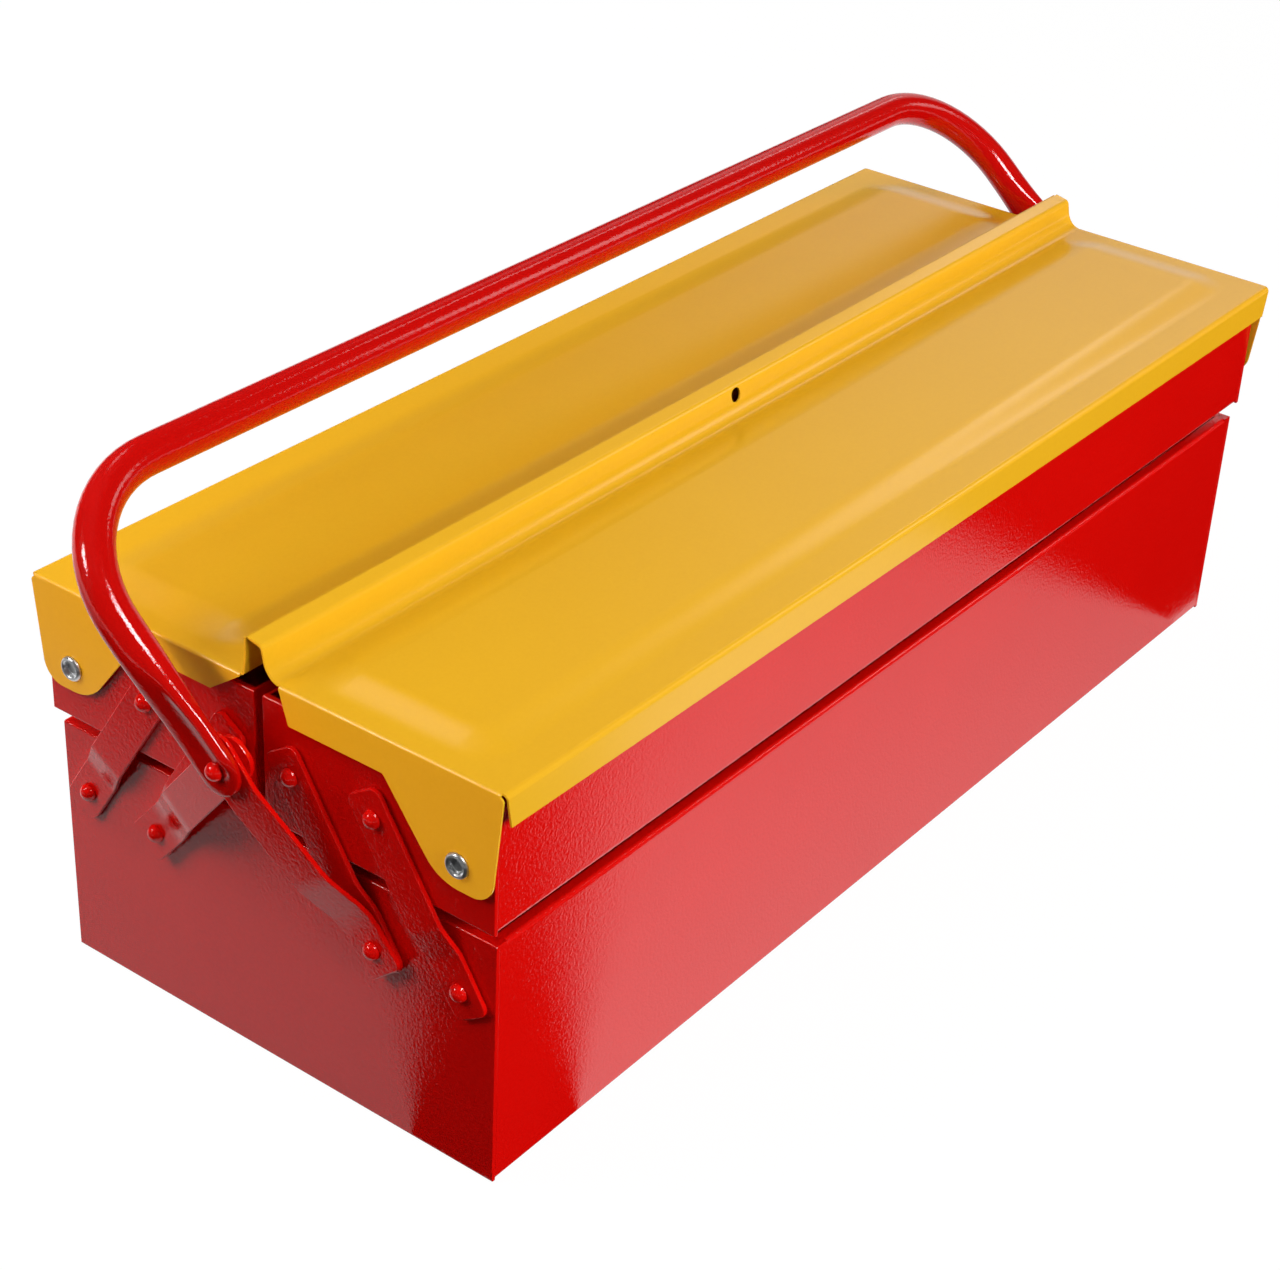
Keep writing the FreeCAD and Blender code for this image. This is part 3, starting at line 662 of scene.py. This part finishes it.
def strip(name, path, bend, half_width, foot_round, head_round, start, inside, holes):
    """Strip at the left end. start is its lower pivot and the unit direction up from it."""
    line = rounded(path, [0] + [bend] * (len(path) - 2) + [0])
    foot, foot_offset = path[0]
    head, head_offset = path[-1]
    stations = [(point.x, point.y) for point in line[1:-1]]
    for number in range(STRIP_END_STEPS + 1):
        share = 1 - math.cos(math.pi / 2 * number / STRIP_END_STEPS)
        stations.append((foot + foot_round * share, foot_offset))
        stations.append((head - head_round * share, head_offset))
    stations += [(foot + STRIP_EDGE, foot_offset), (head - STRIP_EDGE, head_offset)]
    origin, along = start
    across = (along[1], -along[0])
    rings = []
    for place, offset in sorted(set(stations)):
        near_foot = place - foot
        near_head = head - place
        half = half_width
        for near, corner in ((near_foot, foot_round), (near_head, head_round)):
            if near < corner:
                bow = math.sqrt(max(0, corner ** 2 - (corner - near) ** 2))
                half = min(half, half_width - corner + bow)
        at_end = min(near_foot, near_head) <= STRIP_EDGE / 2
        inset = STRIP_EDGE * STRIP_INSET_SHARE if at_end else 0
        back = STRIP_THICK - inset
        flat = rounded([(-half, inset), (half, inset), (half, back), (-half, back)],
                       [STRIP_EDGE * STRIP_EDGE_SHARE] * 4, True, 45)
        ring = []
        for point in flat:
            y = origin[0] + along[0] * place + across[0] * point.x
            z = origin[1] + along[1] * place + across[1] * point.x
            ring.append((-inside - offset - point.y, y, z))
        rings.append(ring)
    drills = []
    for place in holes:
        y = origin[0] + along[0] * place
        z = origin[1] + along[1] * place
        drills.append(rod("drill", HOLE, *STRIP_DRILL, y, z))
    return carve(loft(name, rings), drills)


run = LOWER_OUTER - UPPER_OUTER
rise = UPPER_HEIGHT - LOWER_HEIGHT
length = math.hypot(run, rise)
direction = (run / length, rise / length)
link_path = [(-LINK_END, 0), (LINK_FLAT, 0), (LINK_CRANK_END, LINK_CRANK),
             (length + LINK_END, LINK_CRANK)]
for which, foot in (("outer", LOWER_OUTER), ("inner", LOWER_INNER)):
    link = strip("link", link_path, LINK_BEND, LINK_HALF_WIDTH, LINK_ROUND, LINK_ROUND,
                 ((-foot, LOWER_HEIGHT), direction), LINK_INSIDE, [0, length])
    for side, y_side in SIDES:
        for end, x_side in ENDS:
            dress(copied(link, "link", x_side, y_side), f"{side}_{which}_bar_{end}", red,
                  "red_paint", f"{side}_{which}_links", f"{side}_{which}_link_{end}")
    bpy.data.objects.remove(link)
rise = HANDLE_HEIGHT - LOWER_HEIGHT
length = math.hypot(LOWER_INNER, rise)
direction = (LOWER_INNER / length, rise / length)
for side, y_side in SIDES:
    step = STRAP_SPREADS[side]
    strap_path = [(-STRAP_FOOT, 0), (STRAP_FLAT, 0), (STRAP_JOGGLE_END, STRAP_JOGGLE),
                  (length - STRAP_FLAT, step), (length + STRAP_FLAT, step)]
    strap = strip("strap", strap_path, STRAP_BEND, STRAP_HALF_WIDTH, STRAP_FOOT_ROUND,
                  STRAP_HEAD_ROUND, ((-LOWER_INNER, LOWER_HEIGHT), direction), STRAP_INSIDE,
                  [0, length])
    for end, x_side in ENDS:
        dress(copied(strap, "strap", x_side, y_side), f"{side}_strap_{end}", red, "red_paint",
              "lower_box", f"{side}_handle_strap_{end}")
    bpy.data.objects.remove(strap)


# Rivets, eyelets and washers. A seat is how far out a head sits, and a depth is its shank's length.

LATHE_STEPS = 32
MIDDLE = 0.01
RIVET_RADIUS = 3.6
RIVET_HEIGHT = 3.2
RIVET_STEPS = 8
RIVET_BROW = 0.15
RIVET_BROW_SHARE = 0.985
RIVET_UNDERCUT = 0.2
TAIL_RADIUS = 4.0
TAIL = 1.2
LOWER_SEATS = {"outer": 267.5, "inner": 269.6}
LOWER_TAIL_PLACE = 264.2
UPPER_SEAT = 270.5
UPPER_DEPTH = 3.3
HANDLE_SEAT = 289.4
HANDLE_DEPTH = 7.9
EYELET_SEAT = 270.3
EYELET_DEPTH = 3.1
EYELET_FLOOR = -0.3
EYELET_RIM = [(2.2, -0.3), (2.6, -0.15), (2.85, 0.3), (3.05, 0.85), (3.4, 1.25), (3.8, 1.4),
              (4.25, 1.3), (4.65, 0.95), (4.9, 0.45), (4.95, 0.2), (4.85, 0)]
WASHER_SEAT = 269.1
WASHER_RADIUS = 5.0
WASHER_THICK = 1.1


def shank_and_tail(depth):
    return [(SHANK, 0), (SHANK, -depth), (TAIL_RADIUS, -depth), (TAIL_RADIUS, -depth - TAIL),
            (MIDDLE, -depth - TAIL)]


def rivet_profile(depth):
    """Half section of a domed rivet, from the middle of its head to the middle of its tail."""
    ball = (RIVET_HEIGHT * RIVET_HEIGHT + RIVET_RADIUS * RIVET_RADIUS) / (2 * RIVET_HEIGHT)
    sweep = math.asin(RIVET_RADIUS / ball)
    profile = [(MIDDLE, RIVET_HEIGHT)]
    for number in range(1, RIVET_STEPS + 1):
        angle = sweep * number / RIVET_STEPS
        share = RIVET_BROW_SHARE if number == RIVET_STEPS else 1
        height = max(RIVET_BROW, RIVET_HEIGHT - ball * (1 - math.cos(angle)))
        profile.append((ball * math.sin(angle) * share, height))
    return profile + [(RIVET_RADIUS - RIVET_UNDERCUT, 0)] + shank_and_tail(depth)


def eyelet_profile(depth):
    """Half section of a rolled eyelet: shallow bore, rolled rim, shank and tail."""
    return [(MIDDLE, EYELET_FLOOR)] + EYELET_RIM + shank_and_tail(depth)


def fasteners(name, profile, seat, spots, material, slot, body, node, caps=True):
    """Turned pieces at both ends, as one node of the frame."""
    things = []
    for x_side in (-1, 1):
        for y, z in spots:
            rings = lathe_rings(profile, x_side * seat, y, z, x_side, LATHE_STEPS)
            things.append(loft("turned", rings, caps))
    return dress(join(name, things), name, material, slot, body, node)


for which, y in (("outer", LOWER_OUTER), ("inner", LOWER_INNER)):
    seat = LOWER_SEATS[which]
    fasteners(f"lower_{which}_rivet_set", rivet_profile(seat - LOWER_TAIL_PLACE), seat,
              [(-y, LOWER_HEIGHT), (y, LOWER_HEIGHT)], red, "red_paint", "lower_box",
              f"lower_{which}_rivets")
washer_ring = [(HOLE, 0), (WASHER_RADIUS, 0), (WASHER_RADIUS, -WASHER_THICK),
               (HOLE, -WASHER_THICK), (HOLE, 0)]
for side, y_side in (("front", -1), ("rear", 1)):
    for which, y in (("outer", UPPER_OUTER), ("inner", UPPER_INNER)):
        fasteners(f"{side}_upper_{which}_rivet_set", rivet_profile(UPPER_DEPTH), UPPER_SEAT,
                  [(y_side * y, UPPER_HEIGHT)], red, "red_paint", f"{side}_tray",
                  f"{side}_upper_{which}_rivets")
    pivot = (y_side * LID_PIVOT[0], LID_PIVOT[1])
    fasteners(f"{side}_eyelet_set", eyelet_profile(EYELET_DEPTH), EYELET_SEAT, [pivot], zinc,
              "zinc", f"{side}_tray", f"{side}_lid_eyelets")
    fasteners(f"{side}_washer_set", washer_ring, WASHER_SEAT, [pivot], zinc, "zinc",
              f"{side}_tray", f"{side}_lid_washers", False)
fasteners("handle_rivet_set", rivet_profile(HANDLE_DEPTH), HANDLE_SEAT, [(0, HANDLE_HEIGHT)], red,
          "red_paint", "lower_box", "handle_rivets")


# Handle: a bent tube whose ends are pressed flat, with a hollow round each pivot

TUBE_STEPS = 40
BEND_STEPS = 16
PRESS_START = 12.0
PRESS_RUN = 40.0
TAB_POWER = 3.6
ROUND_POWER = 2.0
TIP_STEPS = 8
TIP_PLACE = -9.95
TIP_SIZE = (1.2, 0.9, 2.5)
TIP_SQUEEZE_PLACE = -8.5
TIP_SQUEEZE = 0.82
TAB_STATIONS = [0.0, 1.5, 3.0, 4.5, 6.0, 8.0, 10.0, PRESS_START]
PRESS_GAP = 2.5
PRESS_STATIONS = 16
LEG_TOP = 55.0
HOLLOW_DEPTH = 1.1
HOLLOW_PLACE = 1.0
HOLLOW_DOWN = 7.0
HOLLOW_UP = 26.0
HOLLOW_HALF_WIDTH = 7.0
HOLLOW_TAPER = 3.0
HOLLOW_TAPER_RUN = 24.0
HOLLOW_REACH = 1.35
HOLLOW_LIMIT = 0.9
LIP_HEIGHT = 2.2
LIP_START = 7.0
LIP_START_RUN = 9.0
LIP_END = 16.0
LIP_END_RUN = 26.0
LIP_PLACE_SHARE = 0.78
LIP_WIDTH = 2.3
HANDLE_DRILL_STARTS = (-294, 282)
HANDLE_DRILL_LENGTH = 12


def tube_section(up):
    """Half width, half thickness and squareness of the tube at a height over the pivot."""
    share = smooth_step((up - PRESS_START) / PRESS_RUN)
    half = mix(TAB_HALF_WIDTH, TUBE_RADIUS, share)
    thick = mix(TAB_HALF_THICK, TUBE_RADIUS, share)
    power = mix(TAB_POWER, ROUND_POWER, share)
    if up < 0:
        half = math.sqrt(max(0.0, TAB_HALF_WIDTH * TAB_HALF_WIDTH - up * up))
    return half, thick, power


def hollow_depth(up, across):
    """Depth of the pressed hollow round the pivot."""
    along = (up - HOLLOW_PLACE) / (HOLLOW_DOWN if up < HOLLOW_PLACE else HOLLOW_UP)
    side = across / (HOLLOW_HALF_WIDTH - HOLLOW_TAPER * smooth_step(up / HOLLOW_TAPER_RUN))
    return HOLLOW_DEPTH * smooth_step(HOLLOW_REACH - math.hypot(along, side) * HOLLOW_REACH)


def lip_height(up, across, half):
    """Height of the rolled edge that is left along one side of the flattened end."""
    start = smooth_step((up + LIP_START) / LIP_START_RUN)
    fade = start * (1 - smooth_step((up - LIP_END) / LIP_END_RUN))
    return LIP_HEIGHT * fade * math.exp(-((across + half * LIP_PLACE_SHARE) / LIP_WIDTH) ** 2)


def tube_ring(centre, axis, half, thick, power, up=None):
    """Ring of the tube in the handle's own plane. up is given where the tube is pressed."""
    ring = []
    for number in range(TUBE_STEPS):
        angle = 2 * math.pi * number / TUBE_STEPS
        cosine = math.cos(angle)
        sine = math.sin(angle)
        across = math.copysign(abs(cosine) ** (2 / power), cosine) * half
        out = math.copysign(abs(sine) ** (2 / power), sine) * thick
        if up is not None and out > 0:
            out -= min(hollow_depth(up, across), out * HOLLOW_LIMIT)
            out += lip_height(up, across, half)
        ring.append((centre + axis * out, across))
    return ring


def handle_rings():
    """Rings of the left half of the handle, from its tip to the end of its bend."""
    leg_axis = Vector((-1, 0))
    stations = [TAB_HALF_WIDTH * math.sin(math.pi / 2 * (number / TIP_STEPS - 1))
                for number in range(1, TIP_STEPS)]
    stations += TAB_STATIONS
    stations += [PRESS_START + PRESS_GAP * number for number in range(1, PRESS_STATIONS + 1)]
    stations.append(LEG_TOP)
    rings = [tube_ring(Vector((-TUBE_PLANE, TIP_PLACE)), leg_axis, *TIP_SIZE)]
    for up in stations:
        half, thick, power = tube_section(up)
        squeeze = 1 if up > TIP_SQUEEZE_PLACE else TIP_SQUEEZE
        centre = Vector((-TUBE_PLANE, up))
        rings.append(tube_ring(centre, leg_axis, half, thick * squeeze, power, up))
    middle = Vector((HANDLE_BEND - TUBE_PLANE, HANDLE_REACH - HANDLE_BEND))
    for number in range(BEND_STEPS + 1):
        angle = math.pi - math.pi / 2 * number / BEND_STEPS
        axis = Vector((math.cos(angle), math.sin(angle)))
        centre = middle + axis * HANDLE_BEND
        rings.append(tube_ring(centre, axis, TUBE_RADIUS, TUBE_RADIUS, ROUND_POWER))
    return rings


def place_handle(ring, x_side):
    """Ring of the handle, leaned back about its pivots."""
    cosine = math.cos(HANDLE_LEAN)
    sine = math.sin(HANDLE_LEAN)
    points = []
    for flat, across in ring:
        y = flat.y * sine + across * cosine
        z = HANDLE_HEIGHT + flat.y * cosine - across * sine
        points.append((x_side * flat.x, y, z))
    return points


half_rings = handle_rings()
rings = [place_handle(ring, 1) for ring in half_rings]
rings += [place_handle(ring, -1) for ring in reversed(half_rings)]
handle = loft("handle", rings)
carve(handle, [rod("drill", HOLE, start, start + HANDLE_DRILL_LENGTH, 0, HANDLE_HEIGHT)
               for start in HANDLE_DRILL_STARTS])
# The handle wears the darker copy of the red, painted shade.
dress(handle, "handle_bow", shaded_red, "red_paint", "handle", "handle_tube")


# Floor and backdrop, with cards just over the floor that show only in reflections

STUDIO = 6000
FLOOR_LEVEL = -0.6
SHEEN_LEVEL = -0.45
SHADE_LEVEL = -0.3
FLOOR_GLOW = 0.98
FLOOR_ALBEDO = 0.03
FLOOR_ROUGHNESS = 0.8
NEAR_CARD = [(-217, -104), (-47, -232), (400, -570), (0, -1400), (-1400, -1400), (-1400, 500),
             (-440, 330), (-384, 122), (-335, -5), (-266, -66), (-266, -104)]
FAR_CARD = [(245, -108), (245, -1400), (1600, -1400), (1600, -108)]
FRONT_CARD = [(-300, -104), (-300, -1400), (245, -1400), (245, -104)]
END_CARD = [(-266, -104), (-266, 700), (-1400, 700), (-1400, -104)]


def glow(name, colour, albedo):
    """Dull grey surface with an even glow, which keeps shadows on it pale. At zero it is black."""
    material, _, shader = start_material(name)
    shader.inputs["Base Color"].default_value = (albedo, albedo, albedo, 1)
    shader.inputs["Roughness"].default_value = FLOOR_ROUGHNESS
    shader.inputs["Specular IOR Level"].default_value = 0.0
    shader.inputs["Emission Color"].default_value = (colour, colour, colour, 1)
    shader.inputs["Emission Strength"].default_value = 1.0
    return material


def sheen(name, start, end, at_start, at_end):
    """Glow that changes along X, for what the paint mirrors."""
    material, tree, shader = start_material(name)
    place = tree.nodes.new("ShaderNodeTexCoord")
    split = tree.nodes.new("ShaderNodeSeparateXYZ")
    tree.links.new(place.outputs["Object"], split.inputs["Vector"])
    level = add_range(tree, split.outputs["X"], start * MM, end * MM, at_start, at_end)
    shader.inputs["Base Color"].default_value = (0, 0, 0, 1)
    shader.inputs["Specular IOR Level"].default_value = 0.0
    shader.inputs["Emission Color"].default_value = (1, 1, 1, 1)
    tree.links.new(level.outputs["Result"], shader.inputs["Emission Strength"])
    return material


def flat_card(name, outline, height, material):
    points = [(x, y, height) for x, y in outline]
    card = make_object(name, points, [tuple(range(len(outline)))])
    card.data.materials.append(material)
    return card


pale = glow("pale_floor", FLOOR_GLOW, FLOOR_ALBEDO)
square = [(-STUDIO, -STUDIO), (STUDIO, -STUDIO), (STUDIO, STUDIO), (-STUDIO, STUDIO)]
floor = flat_card("floor", square, FLOOR_LEVEL, pale)
floor.visible_diffuse = False
backdrop = make_object("backdrop", [(x, y, z) for z in (FLOOR_LEVEL, STUDIO) for x, y in square],
                       [(0, 1, 5, 4), (1, 2, 6, 5), (2, 3, 7, 6), (3, 0, 4, 7)])
backdrop.data.materials.append(pale)
backdrop.visible_diffuse = False
backdrop.visible_glossy = False
backdrop.visible_shadow = False
shade = glow("dark_card", 0.0, 0.0)
for name, outline, height, material in (
        ("near_card", NEAR_CARD, SHADE_LEVEL, shade),
        ("far_card", FAR_CARD, SHADE_LEVEL, shade),
        ("front_card", FRONT_CARD, SHEEN_LEVEL, sheen("front_sheen", -200, 250, 1.15, 0.62)),
        ("end_card", END_CARD, SHEEN_LEVEL, sheen("end_sheen", -400, -330, 0.35, 0.74))):
    card = flat_card(name, outline, height, material)
    card.visible_camera = False
    card.visible_diffuse = False
    card.visible_shadow = False


# World: dark, with one soft patch of light between these edges of the sky

PATCH_EDGES = (("X", 0.60, 0.84), ("Y", 0.62, 0.46), ("Y", -0.10, 0.12), ("Z", 0.68, 0.50))
DARK_SKY = 0.04
LIGHT_SKY = 0.82

world = bpy.data.worlds.new("studio")
scene.world = world
world.use_nodes = True
tree = world.node_tree
back = tree.nodes["Background"]
ways = tree.nodes.new("ShaderNodeTexCoord")
split = tree.nodes.new("ShaderNodeSeparateXYZ")
tree.links.new(ways.outputs["Generated"], split.inputs["Vector"])
light = None
for axis, low, high in PATCH_EDGES:
    edge = add_range(tree, split.outputs[axis], low, high, 0.0, 1.0)
    edge.interpolation_type = "SMOOTHSTEP"
    if light is None:
        light = edge.outputs["Result"]
        continue
    product = tree.nodes.new("ShaderNodeMath")
    product.operation = "MULTIPLY"
    tree.links.new(light, product.inputs[0])
    tree.links.new(edge.outputs["Result"], product.inputs[1])
    light = product.outputs["Value"]
shine = add_range(tree, light, 0.0, 1.0, DARK_SKY, LIGHT_SKY)
tree.links.new(shine.outputs["Result"], back.inputs["Color"])


# Lights, in metres and watts: lamps that only shade, two of them for the lids, and lamps that gleam

# name, place, target, size, power and tint
SHADING_LAMPS = (
    ("key", (-0.28, -1.9, 0.8), (0, 0, 0.1), 1.0, 38, (1, 1, 1)),
    ("top", (-0.4, 0.4, 1.05), (-0.2, 0.0, 0.15), 1.2, 8.0, (1, 0.98, 0.95)),
    ("back", (0.3, 1.9, 0.8), (0, 0, 0.1), 1.0, 20, (1, 1, 1)),
    ("left", (-0.72, 0.5, 0.45), (-0.27, 0, 0.1), 0.4, 3.0, (1, 0.86, 0.75)),
    ("right", (1.0, -0.7, 0.8), (0.2, -0.05, 0.13), 0.6, 4.2, (1, 0.52, 0.32)),
    ("lid_fill", (-1.2, -0.1, 0.1), (-0.27, 0, 0.15), 0.3, 4.6, (1, 0.66, 0.52)),
    ("skirt_fill", (0.45, -1.5, 0.05), (0.2, 0, 0.16), 0.08, 4.6, (1, 0.94, 1)))
LID_LAMPS = ("lid_fill", "skirt_fill")
# name, place, target, width, height and power
GLEAMING_LAMPS = (
    ("front_gleam", (-0.25, -0.93, 1.53), (-0.28, 0, 0.2), 0.5, 0.5, 22),
    ("rear_gleam", (0.3, 0.83, 1.35), (-0.25, -0.05, 0.17), 0.25, 0.25, 0.4),
    ("left_gleam", (-1.1, 0.8, 1.0), (-0.27, -0.05, 0.17), 0.3, 0.3, 7),
    ("far_gleam", (1.2, 0.27, 1.2), (0, -0.09, 0.17), 0.1, 0.8, 0.7),
    ("right_gleam", (1.2, -0.9, 0.85), (0, -0.1, 0.17), 0.4, 0.4, 1.5))


def softbox(name, spot, target, wide, tall, power):
    data = bpy.data.lights.new(name, "AREA")
    data.shape = "RECTANGLE"
    data.size = wide
    data.size_y = tall
    data.energy = power
    lamp = bpy.data.objects.new(name, data)
    scene.collection.objects.link(lamp)
    lamp.location = spot
    aim = Vector(target) - Vector(spot)
    lamp.rotation_euler = aim.to_track_quat("-Z", "Y").to_euler()
    lamp.visible_camera = False
    return lamp


lids = bpy.data.collections.new("lids")
lids.objects.link(front)
lids.objects.link(rear)
for name, spot, target, size, power, tint in SHADING_LAMPS:
    lamp = softbox(name, spot, target, size, size, power)
    lamp.data.color = tint
    lamp.visible_glossy = False
    if name in LID_LAMPS:
        lamp.light_linking.receiver_collection = lids
for lamp_values in GLEAMING_LAMPS:
    softbox(*lamp_values).visible_diffuse = False


# Camera, at the photograph's angle and in metres

CAMERA_TURN = math.radians(-54.09)
CAMERA_TILT = math.radians(31.09)
CAMERA_ROLL = math.radians(3.0)
CAMERA_PLACE = (-0.81047, -0.55039, 0.65029)
FOCAL_LENGTH = 75.64
SENSOR_WIDTH = 36
VIEW_DEPTH = 30

back_axis = Vector((math.sin(CAMERA_TURN) * math.cos(CAMERA_TILT),
                    -math.cos(CAMERA_TURN) * math.cos(CAMERA_TILT), math.sin(CAMERA_TILT)))
level = Vector((math.cos(CAMERA_TURN), math.sin(CAMERA_TURN), 0))
rise_axis = back_axis.cross(level)
right_axis = level * math.cos(CAMERA_ROLL) + rise_axis * math.sin(CAMERA_ROLL)
up_axis = rise_axis * math.cos(CAMERA_ROLL) - level * math.sin(CAMERA_ROLL)
lens = bpy.data.cameras.new("camera")
lens.lens = FOCAL_LENGTH
lens.sensor_width = SENSOR_WIDTH
lens.clip_end = VIEW_DEPTH
camera = bpy.data.objects.new("camera", lens)
scene.collection.objects.link(camera)
matrix = Matrix((right_axis, up_axis, back_axis)).transposed().to_4x4()
matrix.translation = Vector(CAMERA_PLACE)
camera.matrix_world = matrix
scene.camera = camera
scene.view_settings.view_transform = "Standard"
